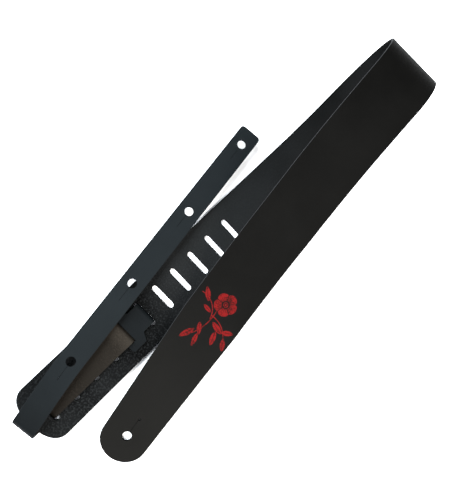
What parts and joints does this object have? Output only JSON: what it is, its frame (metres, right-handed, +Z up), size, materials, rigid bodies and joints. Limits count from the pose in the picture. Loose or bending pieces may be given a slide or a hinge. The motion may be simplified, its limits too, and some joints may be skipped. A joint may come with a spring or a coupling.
{
  "type": "guitar strap",
  "caption": "One-ply leather guitar strap folded double, with crosswise slots and a narrow keyholed tail hitched through them",
  "frame": {"origin": "on the ground under the middle of the strap's bounding box", "axes": "+Y along the rear leg towards the shoulder fold, +X to the front leg's side, +Z up"},
  "size_m": [0.1779, 0.5536, 0.1038],
  "materials": {
    "grain_leather": "black grain side, softly glossy",
    "hitch_leather": "flesh side up, matt",
    "tail_leather": "black grain side, softly glossy"
  },
  "bodies": {
    "rear": {"rear_leg": "grain_leather", "tail_tab": "hitch_leather", "tail_under_run": "hitch_leather"},
    "shoulder_fold_1": {"shoulder_fold_1": "grain_leather"},
    "shoulder_fold_2": {"shoulder_fold_2": "grain_leather"},
    "shoulder_fold_3": {"shoulder_fold_3": "grain_leather"},
    "shoulder_fold_4": {"shoulder_fold_4": "grain_leather"},
    "shoulder_fold_5": {"shoulder_fold_5": "grain_leather"},
    "shoulder_fold_6": {"shoulder_fold_6": "grain_leather"},
    "shoulder_fold_7": {"shoulder_fold_7": "grain_leather"},
    "front_leg": {"front_leg": "grain_leather"},
    "front_flex_1": {"front_flex_1": "grain_leather"},
    "front_flex_2": {"front_flex_2": "grain_leather"},
    "front_tip": {"front_tip": "grain_leather"},
    "tail_fold_1": {"tail_fold_1": "tail_leather"},
    "tail_fold_2": {"tail_fold_2": "tail_leather"},
    "tail_run_lower": {"tail_run_lower": "tail_leather"},
    "tail_flex_1": {"tail_flex_1": "tail_leather"},
    "tail_flex_2": {"tail_flex_2": "tail_leather"},
    "tail_free_end": {"tail_free_end": "tail_leather"}
  },
  "joints": [
    {"name": "shoulder_crease_1", "type": "hinge", "parent": "rear", "child": "shoulder_fold_1", "pos_m": [-0.01584, 0.23279, 0], "axis": [-0.9962, -0.0872, 0], "range_deg": [0, 23.19]},
    {"name": "shoulder_crease_2", "type": "hinge", "parent": "shoulder_fold_1", "child": "shoulder_fold_2", "pos_m": [-0.01674, 0.25323, 0.0094], "axis": [-0.9962, -0.0872, 0], "range_deg": [0, 23.19]},
    {"name": "shoulder_crease_3", "type": "hinge", "parent": "shoulder_fold_2", "child": "shoulder_fold_3", "pos_m": [-0.01726, 0.2679, 0.02647], "axis": [-0.9962, -0.0872, 0], "range_deg": [0, 23.19]},
    {"name": "shoulder_crease_4", "type": "hinge", "parent": "shoulder_fold_3", "child": "shoulder_fold_4", "pos_m": [-0.01711, 0.27411, 0.04811], "axis": [-0.9962, -0.0872, 0], "range_deg": [0, 23.19]},
    {"name": "shoulder_crease_5", "type": "hinge", "parent": "shoulder_fold_4", "child": "shoulder_fold_5", "pos_m": [-0.01618, 0.27076, 0.07035], "axis": [-0.9962, -0.0872, 0], "range_deg": [0, 23.19]},
    {"name": "shoulder_crease_6", "type": "hinge", "parent": "shoulder_fold_5", "child": "shoulder_fold_6", "pos_m": [-0.01447, 0.25846, 0.08912], "axis": [-0.9962, -0.0872, 0], "range_deg": [0, 23.19]},
    {"name": "shoulder_crease_7", "type": "hinge", "parent": "shoulder_fold_6", "child": "shoulder_fold_7", "pos_m": [-0.01215, 0.23948, 0.10101], "axis": [-0.9962, -0.0872, 0], "range_deg": [0, 23.19]},
    {"name": "shoulder_fold_opens", "type": "hinge", "parent": "shoulder_fold_7", "child": "front_leg", "pos_m": [-0.00949, 0.21731, 0.10382], "axis": [-0.9962, -0.0872, 0], "range_deg": [0, 23.19]},
    {"name": "front_end_curl_1", "type": "hinge", "parent": "front_leg", "child": "front_flex_1", "pos_m": [0.04743, -0.12341, 0.01442], "axis": [-0.9962, -0.0872, 0], "range_deg": [0, 25]},
    {"name": "front_end_curl_2", "type": "hinge", "parent": "front_flex_1", "child": "front_flex_2", "pos_m": [0.0516, -0.14703, 0.01212], "axis": [-0.9962, -0.0872, 0], "range_deg": [0, 25]},
    {"name": "front_end_lifts", "type": "hinge", "parent": "front_flex_2", "child": "front_tip", "pos_m": [0.05577, -0.17064, 0.00982], "axis": [-0.9962, -0.0872, 0], "range_deg": [0, 25]},
    {"name": "tail_crease_1", "type": "hinge", "parent": "rear", "child": "tail_fold_1", "pos_m": [-0.01417, -0.27089, 0], "axis": [0.9972, 0.0746, 0], "range_deg": [0, 60.2]},
    {"name": "tail_crease_2", "type": "hinge", "parent": "tail_fold_1", "child": "tail_fold_2", "pos_m": [-0.01484, -0.27583, 0.00851], "axis": [0.9972, 0.0746, 0], "range_deg": [0, 60.2]},
    {"name": "tail_fold_opens", "type": "hinge", "parent": "tail_fold_2", "child": "tail_run_lower", "pos_m": [-0.01639, -0.27097, 0.01697], "axis": [0.9972, 0.0746, 0], "range_deg": [0, 60.2]},
    {"name": "tail_end_curl_1", "type": "hinge", "parent": "tail_run_lower", "child": "tail_flex_1", "pos_m": [-0.04808, -0.08683, 0.01503], "axis": [0.9972, 0.0746, 0], "range_deg": [0, 25]},
    {"name": "tail_end_curl_2", "type": "hinge", "parent": "tail_flex_1", "child": "tail_flex_2", "pos_m": [-0.05136, -0.06502, 0.0148], "axis": [0.9972, 0.0746, 0], "range_deg": [0, 25]},
    {"name": "tail_end_lifts", "type": "hinge", "parent": "tail_flex_2", "child": "tail_free_end", "pos_m": [-0.05465, -0.0432, 0.01457], "axis": [0.9972, 0.0746, 0], "range_deg": [0, 25]}
  ],
  "couplings": [
    {"joint": "shoulder_crease_1", "follows": "shoulder_fold_opens", "ratio": 1},
    {"joint": "shoulder_crease_2", "follows": "shoulder_fold_opens", "ratio": 1},
    {"joint": "shoulder_crease_3", "follows": "shoulder_fold_opens", "ratio": 1},
    {"joint": "shoulder_crease_4", "follows": "shoulder_fold_opens", "ratio": 1},
    {"joint": "shoulder_crease_5", "follows": "shoulder_fold_opens", "ratio": 1},
    {"joint": "shoulder_crease_6", "follows": "shoulder_fold_opens", "ratio": 1},
    {"joint": "shoulder_crease_7", "follows": "shoulder_fold_opens", "ratio": 1},
    {"joint": "front_end_curl_1", "follows": "front_end_lifts", "ratio": 1},
    {"joint": "front_end_curl_2", "follows": "front_end_lifts", "ratio": 1},
    {"joint": "tail_crease_1", "follows": "tail_fold_opens", "ratio": 1},
    {"joint": "tail_crease_2", "follows": "tail_fold_opens", "ratio": 1},
    {"joint": "tail_end_curl_1", "follows": "tail_end_lifts", "ratio": 1},
    {"joint": "tail_end_curl_2", "follows": "tail_end_lifts", "ratio": 1}
  ]
}
